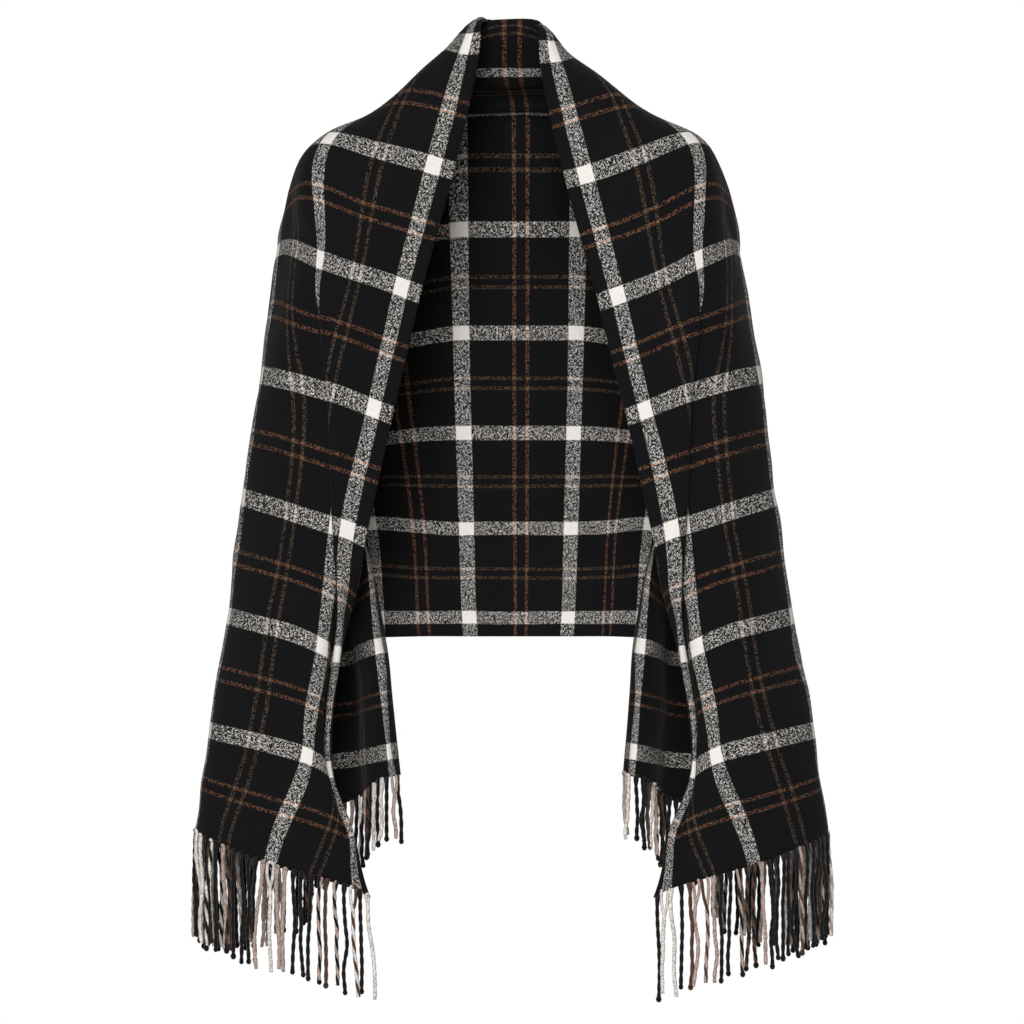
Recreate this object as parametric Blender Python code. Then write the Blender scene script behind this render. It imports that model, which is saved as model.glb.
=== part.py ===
"""A fringed blanket scarf draped over the shoulders like a shawl, with nobody in it.

One woven rectangle makes the whole garment. Its middle hangs down the back and stands up as a
collar at the nape, and its two ends come over the shoulders and wrap round the arms, each lapel
lying over the arm in one long pleat. Both short ends carry a fringe of strands.

Metres, +Z up, the open front facing -Y. The origin is at the nape, where the shoulders hold it.
"""
import math

import bmesh
import bpy
import numpy as np

MM = 0.001

# The cloth as woven, flat on a table
LONG_PERIOD = 132.0 * MM  # from one stripe across the scarf to the next, along its length
WIDE_PERIOD = 109.0 * MM  # from one stripe along the scarf to the next, across its width
MARGIN = 21.0 * MM  # from a selvage to the middle of the stripe beside it
WIDTH = 7 * WIDE_PERIOD + 2 * MARGIN
HALF_LENGTH = 7.5 * LONG_PERIOD
WALL = 2.0 * MM  # the felted twill
SEAM_GAP = 0.3 * MM

# The drape is set out on a front view, PITCH metres a step, sideways from the middle of the neck
# and down from a line level with the top of the collar. Depth is in millimetres, back positive.
PITCH = 1.05 * MM
NAPE_DROP = 130.0  # the origin's distance down

# Where the stripes that run along the scarf cross each section, in steps from the front selvage
EDGE, S8, S7, S6, S5, S4 = 0.0, 20.0, 124.0, 228.0, 332.0, 436.0
S2, S1, HEM = 644.0, 748.0, 768.0

# One row for each section across the cloth. along: long periods from the middle of the back.
# Each point is (sideways, depth, down).
FRONT = (
    # along, edge, stripe 8, crest, its cloth, chest, its cloth
    (0.0, (0, 80, 38), (0, 74, 25), (0, 58, 16), 40, (0, 74, 68), 124),
    (0.2, (21, 62, 22), (24, 58, 18), (27, 50, 18), 42, (26, 78, 68), 124),
    (0.35, (29, 24, 25), (37, 31, 25), (44, 42, 29), 44, (45, 84, 69), 124),
    (0.5, (30, 13, 48), (44, 12, 48), (56, 34, 45), 48, (64, 90, 72), 124),
    (1.0, (42, -8, 116), (60, -10, 110), (110, 14, 98), 74, (135, 62, 109), 124),
    (1.5, (56, -22, 176), (76, -24, 171), (131, -19, 154), 74, (181, 11, 137), 124),
    (2.5, (89, -50, 300), (108, -52, 293), (152, -55, 277), 72, (191, -45, 260), 124),
    (3.5, (118, -66, 418), (137, -68, 411), (184, -72, 392), 75, (226, -50, 380), 117),
    (4.5, (145, -74, 536), (164, -78, 529), (190, -78, 521), 48, (232, -60, 507), 98),
    (5.5, (181, -55, 655), (182, -75, 649), (216, -80, 632), 60, (256, -52, 622), 100),
    (6.0, (189, -56, 709), (184, -70, 706), (214, -80, 692), 60, (259, -54, 680), 107),
    (6.5, (190, -56, 770), (183, -68, 766), (204, -80, 753), 60, (262, -55, 738), 115),
    (7.5, (141, -60, 895), (153, -66, 888), (197, -78, 874), 72, (240, -72, 862), 124),
)
REAR = (
    # along, stripe 6, stripe 5, stripe 4, stripe 2, stripe 1, hem, flute depth in millimetres
    (0.0, (0, 120, 113), (0, 134, 226), (0, 138, 331), (0, 112, 530), (0, 92, 620),
     (0, 88, 637), 0),
    (0.2, (25, 121, 113), (24, 134, 226), (24, 138, 331), (22, 112, 530), (20, 92, 620),
     (20, 88, 637), 0),
    (0.35, (43, 123, 113), (42, 134, 226), (42, 138, 331), (37, 112, 530), (35, 91, 620),
     (34, 87, 637), 0),
    (0.5, (62, 124, 115), (60, 135, 226), (58, 138, 331), (53, 112, 530), (50, 91, 620),
     (49, 87, 637), 0),
    (1.0, (138, 118, 150), (131, 135, 246), (122, 140, 342), (98, 116, 528), (93, 94, 620),
     (92, 90, 637), 2),
    (1.5, (204, 84, 187), (202, 122, 280), (184, 140, 365), (140, 120, 526), (132, 98, 620),
     (131, 94, 638), 7),
    (2.5, (231, 44, 250), (230, 98, 332), (224, 136, 424), (186, 138, 560), (168, 114, 620),
     (166, 110, 634), 14),
    (3.5, (250, 4, 375), (240, 72, 404), (240, 128, 480), (210, 130, 585), (170, 66, 592),
     (167, 60, 595), 16),
    (4.5, (266, 4, 496), (254, 74, 510), (250, 124, 548), (206, 113, 604), (146, 0, 540),
     (148, 18, 537), 14),
    (5.5, (284, 4, 615), (270, 74, 628), (256, 112, 645), (184, 100, 665), (131, -13, 646),
     (124, 1, 645), 29),
    (6.0, (292, 4, 672), (279, 74, 685), (264, 112, 700), (183, 100, 715), (126, -15, 698),
     (119, -1, 697), 30),
    (6.5, (301, 4, 730), (287, 74, 742), (271, 113, 755), (182, 100, 765), (121, -17, 751),
     (114, -3, 750), 30),
    (7.5, (316, 0, 832), (303, 72, 848), (285, 112, 862), (178, 100, 880), (110, -17, 868),
     (103, -3, 867), 28),
)
# The long pleat under each lapel: where the cloth turns under, how much of it is hidden
PLEAT = (
    # along, turn, hidden
    (0.0, 120, 0),
    (2.2, 120, 0),
    (2.5, 118, 6),
    (3.5, 78, 76),
    (4.5, 40, 96),
    (5.5, 20, 96),
    (6.0, 14, 84),
    (6.5, 14, 66),
    (7.5, 30, 0),
)
PLEAT_STEP = 6.5 * MM  # between the layers of the pleat
PLEAT_ROUND = 9.0  # steps of cloth each turn of the pleat takes
FLUTES = 3  # hanging folds behind each arm
FLUTE_FROM, FLUTE_TO = 280.0, 706.0
END_RISE = 0.78  # long periods the end edge is short of at the hem
END_SQUARE = 722.0
BACK_SHIFT = 9.0  # steps the middle of the back hangs to one side
FRONT_SHIFT = -2.5  # steps the rest hangs to the other
RIGHT_DROP = 4.5  # steps the right lapel hangs lower at the chest, and the left one higher

# The solids' grid: cells between one named place across the cloth and the next
CELLS = (3, 2, 2, 1, 2, 2, 1, 4, 1, 22, 4)
ROWS = 17  # cells along each end
BACK_SEAM = 1.25  # the back stretch ends this many long periods from its middle
BACK_ROWS = 5

# The fringe
STRANDS = 88  # at each end
STRIP = 5.0 * MM  # the strip of cloth the strands of one end are fused into
STRAND_THICK = 4.0 * MM
STRAND_SHARE = 0.37  # of the edge that each strand and the space beside it take
STRAND_LONG = 116.0 * MM
STRAND_SHORT = 74.0 * MM  # at the hem's corner
STRAND_UNEVEN = 9.0 * MM


def slopes(knots, values):
    """Slope at each knot by the parabola of three neighbours, along the first axis."""
    step = np.diff(knots, axis=0)
    rate = np.diff(values, axis=0) / step
    inner = (rate[:-1] * step[1:] + rate[1:] * step[:-1]) / (step[1:] + step[:-1])
    return np.concatenate([rate[:1], inner, rate[-1:]])


def hermite(k0, k1, p0, p1, m0, m1, at):
    h = k1 - k0
    t = (at - k0) / h
    return ((2 * t ** 3 - 3 * t ** 2 + 1) * p0 + (t ** 3 - 2 * t ** 2 + t) * h * m0
            + (3 * t ** 2 - 2 * t ** 3) * p1 + (t ** 3 - t ** 2) * h * m1)


def through(knots, values, at):
    """A smooth curve through the values at the knots."""
    knots = np.asarray(knots, float)
    values = np.asarray(values, float)
    tail = (1,) * (values.ndim - 1)
    column = knots.reshape((-1,) + tail)
    slope = slopes(column, values)
    i = np.clip(np.searchsorted(knots, at, side="right") - 1, 0, len(knots) - 2)
    at = np.asarray(at, float).reshape((-1,) + tail)
    return hermite(column[i], column[i + 1], values[i], values[i + 1], slope[i], slope[i + 1], at)


def smooth(edge0, edge1, x):
    t = np.clip((x - edge0) / (edge1 - edge0), 0, 1)
    return t * t * (3 - 2 * t)


def sections(along):
    """The sections' points and their cloth coordinates at each place along: (10, n, 3), (10, n)."""
    rows = [row[0] for row in FRONT]
    points = np.array([[f[1], f[2], f[3], f[5], *r[1:7]] for f, r in zip(FRONT, REAR)], float)
    cloth = np.array([[EDGE, S8, f[4], f[6], S6, S5, S4, S2, S1, HEM] for f in FRONT], float)
    # the middle of the back is a plane of symmetry
    points = np.concatenate([points[2:0:-1] * (-1, 1, 1), points])
    cloth = np.concatenate([cloth[2:0:-1], cloth])
    knots = [-rows[2], -rows[1]] + rows
    points = through(knots, points, along)
    cloth = through(knots, cloth, along)
    return points.transpose(1, 0, 2), cloth.T


def pleat_at(along):
    """Where the cloth turns under, and how much of it the pleat hides."""
    rows = [row[0] for row in PLEAT]
    turn = through(rows, [row[1] for row in PLEAT], along)
    hidden = through(rows, [row[2] for row in PLEAT], along)
    return turn, np.maximum(hidden, 0)


def soft_ramp(x, r):
    """Nothing below zero and twice x above it, rounded over r."""
    return np.sqrt(x * x + r * r) + x


def pleat(along, v):
    """Cloth coordinate v to the visible one and the height over the base, in a Z fold.

    Past the first turn the cloth doubles back for half of what is hidden, then turns again.
    """
    turn, hidden = pleat_at(along)
    back = turn + hidden / 2
    r = PLEAT_ROUND
    shown = v - soft_ramp(v - turn, r) + soft_ramp(v - back, r)
    height = 2 - smooth(turn - r, turn + r, v) - smooth(back - r, back + r, v)
    return shown, height * smooth(0, 40, hidden), hidden


def drape(along, v):
    """The cloth's middle, without its flutes and the pleat's steps, on the front view."""
    points, knots = sections(along)
    shown, height, hidden = pleat(along, v)
    # past the pleat the sections are measured in the cloth that shows
    knots[4:] -= hidden
    slope = slopes(knots[:, :, None], points)
    # on the arms the cloth runs straight back where stripe 6 meets the outline
    slope[4, :, 0] *= 1 - smooth(2.0, 4.2, along)
    i = (shown >= knots[1:-1]).sum(axis=0)
    n = np.arange(len(along))
    base = hermite(knots[i, n][:, None], knots[i + 1, n][:, None], points[i, n], points[i + 1, n],
                   slope[i, n], slope[i + 1, n], shown[:, None])
    return base, height


def to_metres(p):
    return np.stack([p[:, 0] * PITCH, p[:, 1] * MM, (NAPE_DROP - p[:, 2]) * PITCH], axis=-1)


def middle_surface(along, v, side):
    """The cloth's middle on one side, -1 the left and 1 the right, in metres."""
    shape = along.shape
    along = along.reshape(-1)
    v = v.reshape(-1)
    base, height = drape(along, v)
    base = to_metres(base)
    du = 0.02
    dv = 2.0
    length = to_metres(drape(along + du, v)[0]) - to_metres(drape(along - du, v)[0])
    across = to_metres(drape(along, v + dv)[0]) - to_metres(drape(along, v - dv)[0])
    # where the pleat doubles back, so does the cloth's face
    flip = np.sign(pleat(along, v + dv)[0] - pleat(along, v - dv)[0])
    normal = np.cross(length, across) * flip[:, None]
    normal /= np.maximum(np.linalg.norm(normal, axis=1, keepdims=True), 1e-12)
    t = (v - FLUTE_FROM) / (FLUTE_TO - FLUTE_FROM)
    depth = through([row[0] for row in REAR], [row[7] for row in REAR], along) * MM
    wave = np.cos(2 * math.pi * FLUTES * t) * smooth(0, 0.25, t) * smooth(0, 0.12, 1 - t)
    out = base + normal * (height * PLEAT_STEP + wave * depth)[:, None]
    out[:, 0] *= side
    back = smooth(100, 240, v) * (1 - smooth(0.6, 1.6, along))
    out[:, 0] += PITCH * (FRONT_SHIFT * smooth(0, 0.6, along) * (1 - smooth(5, 7, along))
                          + BACK_SHIFT * back)
    chest = smooth(0, 0.5, along) * (1 - smooth(2.2, 4.0, along)) * (1 - smooth(30, 130, v))
    out[:, 2] -= side * RIGHT_DROP * PITCH * chest
    return out.reshape(shape + (3,))


def end_of(v):
    """Where the fringed end edge lies along the cloth: it rises to run square past END_SQUARE."""
    return 7.5 - END_RISE * np.clip((v - S6) / (END_SQUARE - S6), 0, 1) ** 2


def columns(along):
    """The grid's places across the cloth, closest round the pleat and the flutes."""
    turn, hidden = pleat_at(along)
    hidden = np.maximum(hidden, 44)
    r = PLEAT_ROUND - 1
    back = turn + hidden / 2
    one = np.ones_like(turn)
    stops = [EDGE * one, turn - r, turn, turn + r, back - r, back, back + r, turn + hidden,
             np.maximum(S6, turn + hidden + 30), FLUTE_FROM * one, FLUTE_TO * one, HEM * one]
    parts = []
    for first, last, cells in zip(stops[:-1], stops[1:], CELLS):
        t = np.arange(cells) / cells
        parts.append(first[:, None] * (1 - t) + last[:, None] * t)
    return np.concatenate(parts + [stops[-1][:, None]], axis=1)


def wall(along, v, side):
    """The two faces of the cloth, WALL apart, over a grid of places on it."""
    du = 0.01
    dv = 2.0
    length = middle_surface(along + du, v, side) - middle_surface(along - du, v, side)
    across = middle_surface(along, v + dv, side) - middle_surface(along, v - dv, side)
    normal = np.cross(length, across) * side
    normal /= np.maximum(np.linalg.norm(normal, axis=-1, keepdims=True), 1e-12)
    middle = middle_surface(along, v, side)
    return middle + normal * WALL / 2, middle - normal * WALL / 2


def add_object(name, vertices, faces, colour):
    mesh = bpy.data.meshes.new(name)
    mesh.from_pydata(np.asarray(vertices).tolist(), [], faces)
    mesh.validate()
    bm = bmesh.new()
    bm.from_mesh(mesh)
    bmesh.ops.recalc_face_normals(bm, faces=bm.faces)
    bmesh.ops.triangulate(bm, faces=bm.faces)
    for face in bm.faces:
        face.smooth = True
    bm.to_mesh(mesh)
    bm.free()
    obj = bpy.data.objects.new(name, mesh)
    bpy.context.scene.collection.objects.link(obj)
    material = bpy.data.materials.new(name)
    material.use_nodes = True
    shader = material.node_tree.nodes["Principled BSDF"]
    shader.inputs["Base Color"].default_value = colour
    shader.inputs["Roughness"].default_value = 0.9
    mesh.materials.append(material)
    return obj


def sheet_solid(name, outer, inner, colour):
    """The closed solid between two grids of points."""
    n, m = outer.shape[:2]
    index = np.arange(n * m).reshape(n, m)
    faces = []
    for i in range(n - 1):
        for j in range(m - 1):
            a, b, c, d = index[i, j], index[i, j + 1], index[i + 1, j + 1], index[i + 1, j]
            faces.append((a, b, c, d))
            faces.append((d + n * m, c + n * m, b + n * m, a + n * m))
    rim = list(index[0, :-1]) + list(index[:-1, -1]) + list(index[-1, :0:-1]) + list(index[:0:-1, 0])
    for a, b in zip(rim, rim[1:] + rim[:1]):
        faces.append((b, a, a + n * m, b + n * m))
    faces = [tuple(int(k) for k in f) for f in faces]
    return add_object(name, np.concatenate([outer.reshape(-1, 3), inner.reshape(-1, 3)]), faces, colour)


def end_places():
    """Places on one end of the scarf, from the back stretch to the strip the fringe hangs from."""
    t = np.linspace(0, 1, ROWS + 1)
    edge_v = columns(np.array([7.4]))[0]
    last = end_of(edge_v)
    first = BACK_SEAM + SEAM_GAP / LONG_PERIOD
    stop = last - (STRIP + SEAM_GAP) / LONG_PERIOD
    along = first + (stop[None, :] - first) * t[:, None]
    v = columns(along.mean(axis=1))
    v[0] = columns(np.array([BACK_SEAM]))[0]
    v[-1] = edge_v
    return along, v, last


def back_wall():
    """The back stretch with the collar, both sides of the middle."""
    along = np.linspace(-BACK_SEAM, BACK_SEAM, 2 * BACK_ROWS + 1)
    v = columns(np.array([BACK_SEAM]))[0]
    u = np.broadcast_to(np.abs(along)[:, None], (len(along), len(v))).copy()
    w = np.broadcast_to(v, u.shape).copy()
    left = wall(u, w, -1)
    right = wall(u, w, 1)
    on_left = along[:, None, None] < 0
    return [np.where(on_left, a, b) for a, b in zip(left, right)]


def fringe_solid(name, side, v, last, colour):
    """A strip of the end edge with its strands hanging from it, fused at their roots."""
    rng = np.random.default_rng(7 + side)
    top = wall(last - STRIP / LONG_PERIOD, v, side)
    low = wall(last, v, side)
    edge = (low[0] + low[1]) / 2
    run = np.concatenate([[0], np.cumsum(np.linalg.norm(np.diff(edge, axis=0), axis=1))])
    # two stations to a strand and two to each space between strands
    station = np.arange(2 * STRANDS)
    share = (station // 2 + np.where(station % 2, STRAND_SHARE, 0.0)) / (STRANDS - 1 + STRAND_SHARE)
    at = share * run[-1]
    # the nearest stations move to the cloth's own places, so that the strip bends as it does
    at[np.abs(at[:, None] - run).argmin(axis=0)] = run
    place = np.interp(at, run, v)
    ring = np.stack([[np.interp(at, run, p[:, k]) for k in range(3)]
                     for p in (top[0], top[1], low[1], low[0])]).transpose(2, 0, 1)
    tangent = np.gradient(ring[:, 2] + ring[:, 3], axis=0)
    tangent /= np.linalg.norm(tangent, axis=1, keepdims=True)
    normal = ring[:, 3] - ring[:, 2]
    vertices = list(ring.reshape(-1, 3))
    faces = [(0, 1, 2, 3), tuple(4 * (2 * STRANDS - 1) + k for k in (3, 2, 1, 0))]
    for i in range(2 * STRANDS - 1):
        a = 4 * i
        b = a + 4
        faces += [(a, b, b + 1, a + 1), (a + 1, b + 1, b + 2, a + 2), (a + 3, b + 3, b, a)]
        if i % 2:
            faces.append((a + 2, b + 2, b + 3, a + 3))
            continue
        # this cell's underside is a strand's root
        root = (ring[i, 2] + ring[i, 3] + ring[i + 1, 2] + ring[i + 1, 3]) / 4
        length = STRAND_LONG + (STRAND_SHORT - STRAND_LONG) * smooth(520, 730, place[i])
        length -= STRAND_UNEVEN * rng.random()
        run_way = tangent[i] * (1, 1, 0)
        run_way /= np.linalg.norm(run_way)
        side_way = np.array([-run_way[1], run_way[0], 0])
        if side_way @ normal[i] < 0:
            side_way = -side_way
        half = STRAND_THICK / 2
        tip = root + (0, 0, -length)
        k = len(vertices)
        for along_sign, side_sign in ((-1, -1), (1, -1), (1, 1), (-1, 1)):
            vertices.append(tip + run_way * along_sign * half + side_way * side_sign * half)
        base = (a + 2, b + 2, b + 3, a + 3)
        for j in range(4):
            faces.append((base[j], base[(j + 1) % 4], k + (j + 1) % 4, k + j))
        faces.append((k, k + 1, k + 2, k + 3))
    return add_object(name, vertices, faces, colour)


def build():
    for old in list(bpy.data.objects):
        bpy.data.objects.remove(old, do_unlink=True)
    cloth = (0.02, 0.02, 0.022, 1.0)
    yarn = (0.25, 0.22, 0.2, 1.0)
    sheet_solid("back_stretch", *back_wall(), cloth)
    along, v, last = end_places()
    for side, name in ((-1, "left"), (1, "right")):
        sheet_solid(name + "_stretch", *wall(along, v, side), cloth)
        fringe_solid(name + "_fringe", side, v[-1], last, yarn)


if __name__ == "__main__":
    build()
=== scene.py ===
"""The looks of a fringed plaid blanket scarf, draped like a shawl with nobody in it.

The cloth is one closed shell about 2 mm thick, worked out as a function of two cloth coordinates:
along, in long periods of the plaid from the middle of the back, and v, in steps from the front
selvage. Its plaid, weave and nap are drawn from those same coordinates. The fringe is a row of
two-ply strands, each looped through the cloth's end, the dark ones knotted at their tips.
"""
import math

import bmesh
import bpy
import numpy as np
from bpy.props import FloatProperty, FloatVectorProperty, IntProperty, PointerProperty
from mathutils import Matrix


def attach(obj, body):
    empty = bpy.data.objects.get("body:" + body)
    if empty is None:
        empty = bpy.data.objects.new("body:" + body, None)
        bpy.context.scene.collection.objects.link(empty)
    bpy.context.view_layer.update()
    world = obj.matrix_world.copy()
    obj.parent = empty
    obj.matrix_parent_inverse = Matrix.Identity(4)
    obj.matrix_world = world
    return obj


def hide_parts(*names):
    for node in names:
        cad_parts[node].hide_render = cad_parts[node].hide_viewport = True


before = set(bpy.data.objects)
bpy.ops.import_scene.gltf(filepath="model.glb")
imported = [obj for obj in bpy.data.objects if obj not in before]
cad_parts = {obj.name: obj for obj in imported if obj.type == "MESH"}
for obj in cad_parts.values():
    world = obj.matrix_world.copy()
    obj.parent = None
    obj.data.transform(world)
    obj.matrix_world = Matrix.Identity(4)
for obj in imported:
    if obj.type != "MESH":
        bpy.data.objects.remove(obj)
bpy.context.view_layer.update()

bl_info = {
    "name": "Plaid Shawl",
    "version": (1, 0, 0),
    "blender": (4, 5, 0),
    "location": "3D View > Sidebar > Shawl",
    "description": "Weaves and dresses a fringed plaid shawl and its plain stage",
    "category": "Object",
}

MM = 0.001

# The cloth as woven
LONG_PERIOD = 132.0 * MM  # from one stripe across the scarf to the next, along its length
WIDE_PERIOD = 109.0 * MM  # from one stripe along the scarf to the next, across its width
MARGIN = 21.0 * MM  # from a selvage to the middle of the stripe beside it
END = 7.5  # long periods from the middle of the back to the fringed end
WALL = 2.0 * MM
SELVAGE_ROUND = 0.35 * WALL  # how far the rounding of a selvage stands out
# Pairs of brown lines midway between stripes: from line to line, half a line's width
LINES_ALONG = (10.9 * MM, 1.6 * MM)
LINES_ACROSS = (14.8 * MM, 1.8 * MM)
LAST_STRIPE = 7.2 * LONG_PERIOD  # past this no white stripe runs across the scarf
YARN_EDGE = 0.5 * MM  # half the width over which a stripe's edge is blurred

# Noises over the flat cloth: features in a metre, octaves, roughness
DYE_NOISE = (260.0, 3.0, 0.6)
LINT_NOISE = (900.0, 2.0, 0.7)
PATCH_NOISE = (170.0, 1.0, 0.5)
SPECK_NOISE = (560.0, 2.0, 0.6)
NAP_NOISE = (1100.0, 2.0, 0.6)
FIBRE_NOISE = (420.0, 3.0, 0.7)  # over the fringe's yarns
FLECK_NOISE = (1.0, 2.0, 0.6)  # over cells as small as the twill's flecks
FLECKS_WIDE, FLECKS_LONG = 400.0, 180.0  # those cells in a metre, across and along
RIB_SHARE = 0.3  # how much the regular rib counts beside the flecks
# Where a value is mapped from, low and high, and where to
PATCH_RANGE = (0.48, 0.52, 0.0, 1.0)
FLECK_RANGE = (0.3, 0.7, -1.5, 1.5)
ON_TOP_RANGE = (-0.2, 0.2, 0.04, 0.96)
WHITE_DIP_RANGE = (0.43, 0.57, 0.95, 0.2)
BROWN_DIP_RANGE = (0.4, 0.6, 0.94, 0.5)
YARN_SHADE_RANGE = (0.35, 0.65, 0.45, 1.15)
BROWN_CROSSING = -0.2  # how much less brown lines dip where they cross
BROWN_ON_WHITE = 0.25  # how far they dip on a white stripe
FLECK_RELIEF = 0.12  # how much the flecks count in the relief beside the nap
NAP_BUMP, FIBRE_BUMP = (0.5, 0.5 * MM), (0.6, 0.4 * MM)  # strength, height

# The drape, on a front view: PITCH metres a step, sideways from the middle of the neck and down
# from a line level with the top of the collar. Depth is in millimetres, back positive.
PITCH = 1.05 * MM
NAPE_DROP = 130.0
VIEW = 1024  # width and height of the front view in steps

# Where the stripes that run along the scarf cross each section, in steps from the front selvage
EDGE, S8, S6, S5, S4 = 0.0, 20.0, 228.0, 332.0, 436.0
S2, S1, HEM = 644.0, 748.0, 768.0
STRIPE_6 = 4  # its place among the ten points of a section

# One row for each section across the cloth. Each point is (sideways, depth, down).
FRONT = (
    # along, edge, stripe 8, crest, its cloth, chest, its cloth
    (0.0, (0, 80, 38), (0, 74, 25), (0, 58, 16), 40, (0, 74, 68), 124),
    (0.2, (21, 62, 22), (24, 58, 18), (27, 50, 18), 42, (26, 78, 68), 124),
    (0.35, (29, 24, 25), (37, 31, 25), (44, 42, 29), 44, (45, 84, 69), 124),
    (0.5, (30, 13, 48), (44, 12, 48), (56, 34, 45), 48, (64, 90, 72), 124),
    (1.0, (42, -8, 116), (60, -10, 110), (110, 14, 98), 74, (135, 62, 109), 124),
    (1.5, (56, -22, 176), (76, -24, 171), (131, -19, 154), 74, (181, 11, 137), 124),
    (2.5, (89, -50, 300), (108, -52, 293), (152, -55, 277), 72, (191, -45, 260), 124),
    (3.5, (118, -66, 418), (137, -68, 411), (184, -72, 392), 75, (226, -50, 380), 117),
    (4.5, (145, -74, 536), (164, -78, 529), (190, -78, 521), 48, (232, -60, 507), 98),
    (5.5, (181, -55, 655), (182, -75, 649), (216, -80, 632), 60, (256, -52, 622), 100),
    (6.0, (189, -56, 709), (184, -70, 706), (214, -80, 692), 60, (259, -54, 680), 107),
    (6.5, (190, -56, 770), (183, -68, 766), (204, -80, 753), 60, (262, -55, 738), 115),
    (7.5, (141, -60, 895), (153, -66, 888), (197, -78, 874), 72, (240, -72, 862), 124),
)
REAR = (
    # along, stripe 6, stripe 5, stripe 4, stripe 2, stripe 1, hem, flute depth in millimetres
    (0.0, (0, 120, 113), (0, 134, 226), (0, 138, 331), (0, 112, 530), (0, 92, 620),
     (0, 88, 637), 0),
    (0.2, (25, 121, 113), (24, 134, 226), (24, 138, 331), (22, 112, 530), (20, 92, 620),
     (20, 88, 637), 0),
    (0.35, (43, 123, 113), (42, 134, 226), (42, 138, 331), (37, 112, 530), (35, 91, 620),
     (34, 87, 637), 0),
    (0.5, (62, 124, 115), (60, 135, 226), (58, 138, 331), (53, 112, 530), (50, 91, 620),
     (49, 87, 637), 0),
    (1.0, (138, 118, 150), (131, 135, 246), (122, 140, 342), (98, 116, 528), (93, 94, 620),
     (92, 90, 637), 2),
    (1.5, (204, 84, 187), (202, 122, 280), (184, 140, 365), (140, 120, 526), (132, 98, 620),
     (131, 94, 638), 7),
    (2.5, (231, 44, 250), (230, 98, 332), (224, 136, 424), (186, 138, 560), (168, 114, 620),
     (166, 110, 634), 14),
    (3.5, (250, 4, 375), (240, 72, 404), (240, 128, 480), (210, 130, 585), (170, 66, 592),
     (167, 60, 595), 16),
    (4.5, (266, 4, 496), (254, 74, 510), (250, 124, 548), (206, 113, 604), (146, 0, 540),
     (148, 18, 537), 14),
    (5.5, (284, 4, 615), (270, 74, 628), (256, 112, 645), (184, 100, 665), (131, -13, 646),
     (124, 1, 645), 29),
    (6.0, (292, 4, 672), (279, 74, 685), (264, 112, 700), (183, 100, 715), (126, -15, 698),
     (119, -1, 697), 30),
    (6.5, (301, 4, 730), (287, 74, 742), (271, 113, 755), (182, 100, 765), (121, -17, 751),
     (114, -3, 750), 30),
    (7.5, (316, 0, 832), (303, 72, 848), (285, 112, 862), (178, 100, 880), (110, -17, 868),
     (103, -3, 867), 28),
)
# The long pleat under each lapel: where the cloth turns under, how much of it is hidden
PLEAT = (
    # along, turn, hidden
    (0.0, 120, 0), (2.2, 120, 0), (2.5, 118, 6), (3.5, 78, 76), (4.5, 40, 96),
    (5.5, 20, 96), (6.0, 14, 84), (6.5, 14, 66), (7.5, 30, 0),
)
PLEAT_STEP = 6.5 * MM  # from one layer of the pleat to the next
PLEAT_ROUND = 9.0  # steps of cloth over which each of its turns is rounded
PLEAT_FULL = 40.0  # hidden cloth from which its layers lie a whole PLEAT_STEP apart
FLUTES = 3  # soft folds behind each arm
FLUTE_FROM, FLUTE_TO = 280.0, 706.0  # the cloth that they take
FLUTE_START, FLUTE_STOP = 0.25, 0.12  # parts of it over which they set in and end
ARM = (2.0, 4.2)  # places along between which the cloth comes to wrap the arm
END_RISE = 0.78  # how far short the end is cut at the hem, in long periods
END_SQUARE = 722.0  # past this the end is cut square again

# How the worn cloth strays from an even hang, in steps, and where that sets in and fades
BACK_SHIFT = 9.0  # the hanging back, to the right
BACK_ACROSS, BACK_ALONG = (100, 240), (0.6, 1.6)
FRONT_SHIFT = -2.5  # the collar's ends and the lapels, to the left
FRONT_IN, FRONT_OUT = (0, 0.6), (5, 7)
RIGHT_DROP = 4.5  # the right side of the chest down, the left one up
CHEST_IN, CHEST_OUT, CHEST_ACROSS = (0, 0.5), (2.2, 4.0), (30, 130)

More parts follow.
